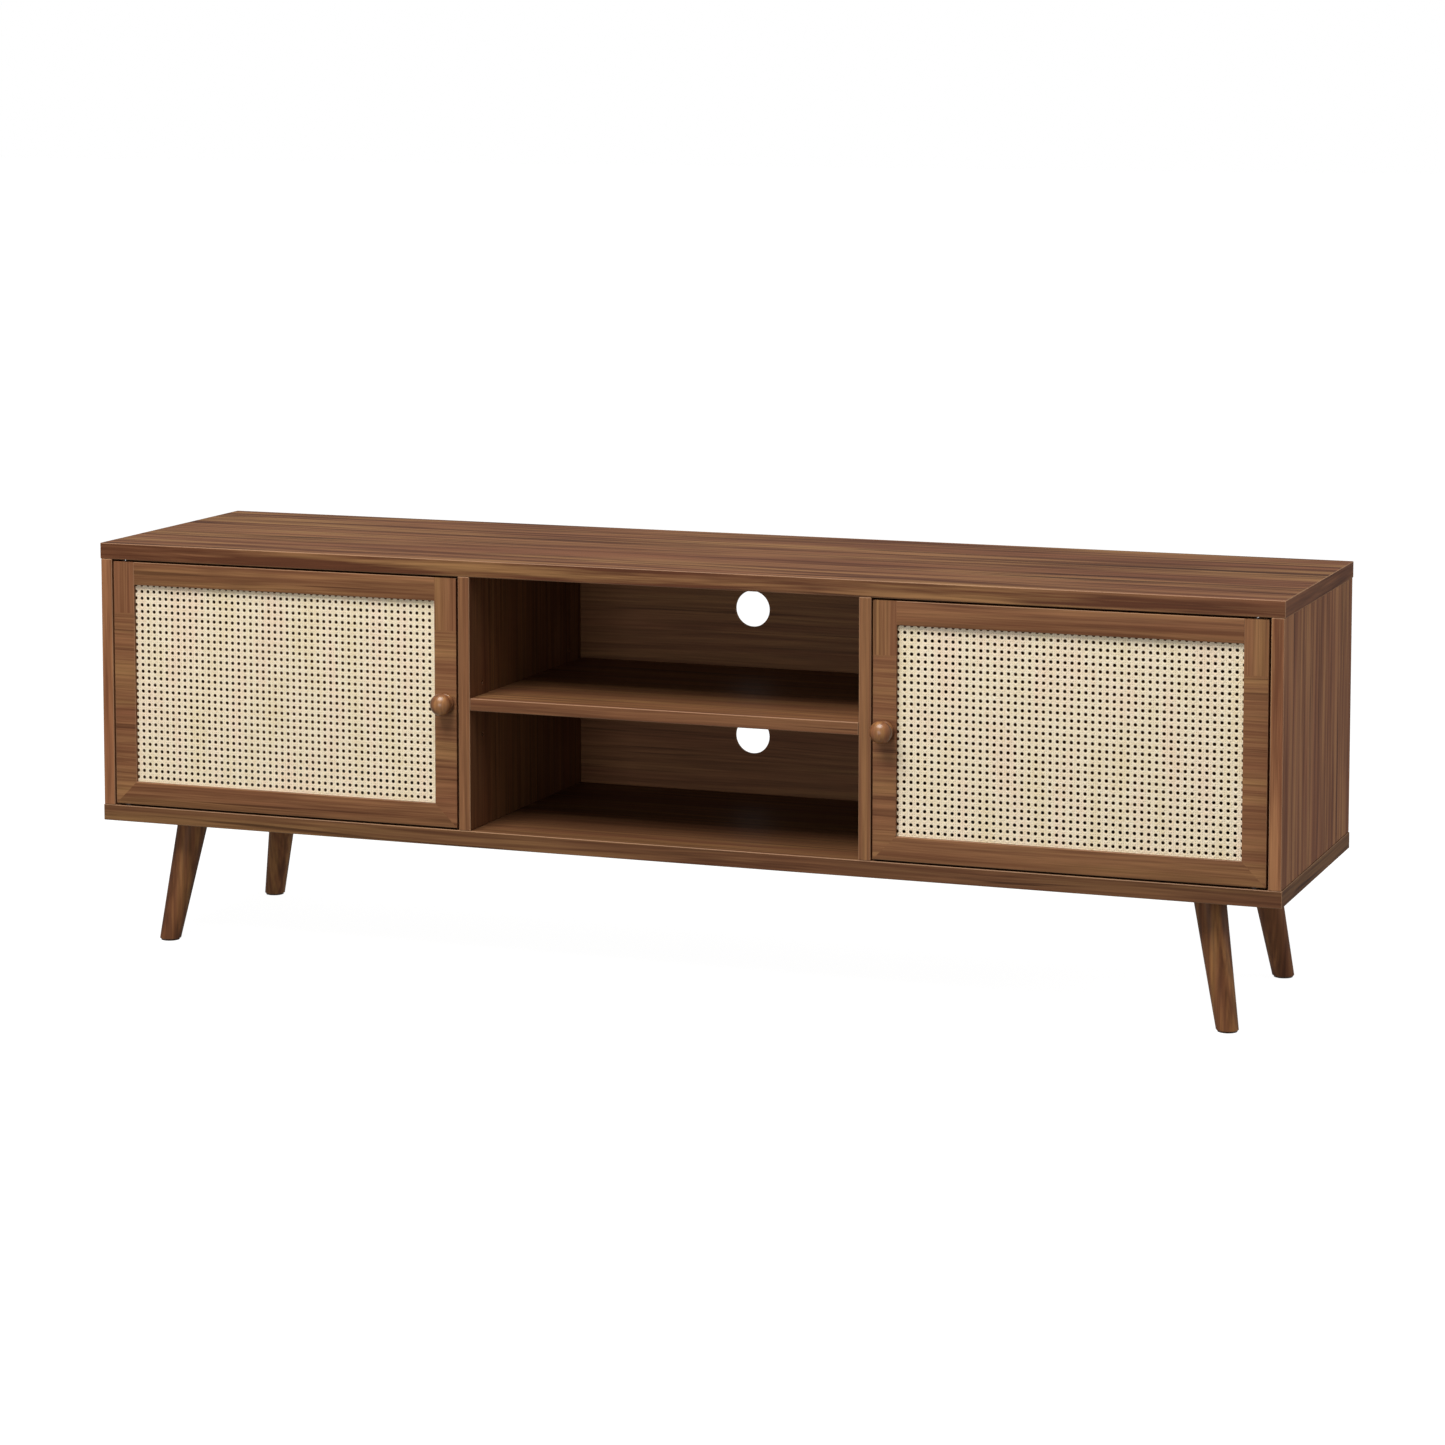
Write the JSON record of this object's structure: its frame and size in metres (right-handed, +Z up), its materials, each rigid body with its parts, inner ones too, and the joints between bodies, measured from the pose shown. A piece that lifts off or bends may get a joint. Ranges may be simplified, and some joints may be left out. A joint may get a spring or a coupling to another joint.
{
  "type": "media cabinet",
  "caption": "Low media cabinet with hinged cane-panelled doors either side of an open shelved bay, standing on splayed tapered legs.",
  "frame": {"origin": "on the floor, under the middle of the whole cabinet, knobs included", "axes": "+X to the cabinet's right-hand end as seen from the front, +Y to the rear, +Z up; the doors face -Y"},
  "size_m": [1.5, 0.395, 0.505],
  "materials": {
    "walnut_foil": "satin walnut-grain foil on board",
    "walnut_back_board": "satin walnut-grain foil on thin hardboard",
    "stained_wood": "walnut-stained, satin-lacquered solid wood",
    "woven_cane": "natural woven cane, matt",
    "beech_dowel": "plain beech",
    "zinc_plated_steel": "zinc plated",
    "cast_zinc": "as cast",
    "steel_pin": "bright drawn",
    "brown_nylon": "moulded nylon",
    "brown_plastic": "moulded ABS",
    "ferrite_magnet": "sintered ferrite",
    "felt": "pressed felt"
  },
  "bodies": {
    "carcass": {"top_panel": "walnut_foil", "bottom_panel": "walnut_foil", "left_side_panel": "walnut_foil", "right_side_panel": "walnut_foil", "left_divider": "walnut_foil", "right_divider": "walnut_foil", "centre_shelf": "walnut_foil", "left_back_board": "walnut_back_board", "centre_back_board": "walnut_back_board", "right_back_board": "walnut_back_board", "front_left_leg": "stained_wood", "front_right_leg": "stained_wood", "rear_left_leg": "stained_wood", "rear_right_leg": "stained_wood", "leg_bolts": "zinc_plated_steel", "leg_insert_nuts": "zinc_plated_steel", "leg_glides": "felt", "cam_bolts": "zinc_plated_steel", "cam_nuts": "cast_zinc", "wood_dowels": "beech_dowel", "base_screws": "zinc_plated_steel", "shelf_pins": "zinc_plated_steel", "bottom_pivot_pins": "steel_pin", "top_pivot_pins": "steel_pin", "pivot_washers": "brown_nylon", "catch_housings": "brown_plastic", "catch_magnets": "ferrite_magnet", "catch_screws": "zinc_plated_steel"},
    "left_door": {"left_hinge_stile": "walnut_foil", "left_knob_stile": "walnut_foil", "left_top_rail": "walnut_foil", "left_bottom_rail": "walnut_foil", "left_cane_panel": "woven_cane", "left_cane_beads": "stained_wood", "left_knob": "stained_wood", "left_knob_screw": "zinc_plated_steel", "left_pivot_bushes": "brown_nylon", "left_strike_plate": "zinc_plated_steel", "left_strike_screws": "zinc_plated_steel"},
    "right_door": {"right_hinge_stile": "walnut_foil", "right_knob_stile": "walnut_foil", "right_top_rail": "walnut_foil", "right_bottom_rail": "walnut_foil", "right_cane_panel": "woven_cane", "right_cane_beads": "stained_wood", "right_knob": "stained_wood", "right_knob_screw": "zinc_plated_steel", "right_pivot_bushes": "brown_nylon", "right_strike_plate": "zinc_plated_steel", "right_strike_screws": "zinc_plated_steel"}
  },
  "joints": [
    {"name": "left_door_hinge", "type": "hinge", "parent": "carcass", "child": "left_door", "pos_m": [-0.7175, -0.1655, 0.33], "axis": [0, 0, -1], "range_deg": [0, 130]},
    {"name": "right_door_hinge", "type": "hinge", "parent": "carcass", "child": "right_door", "pos_m": [0.7175, -0.1655, 0.33], "axis": [0, 0, 1], "range_deg": [0, 130]}
  ]
}
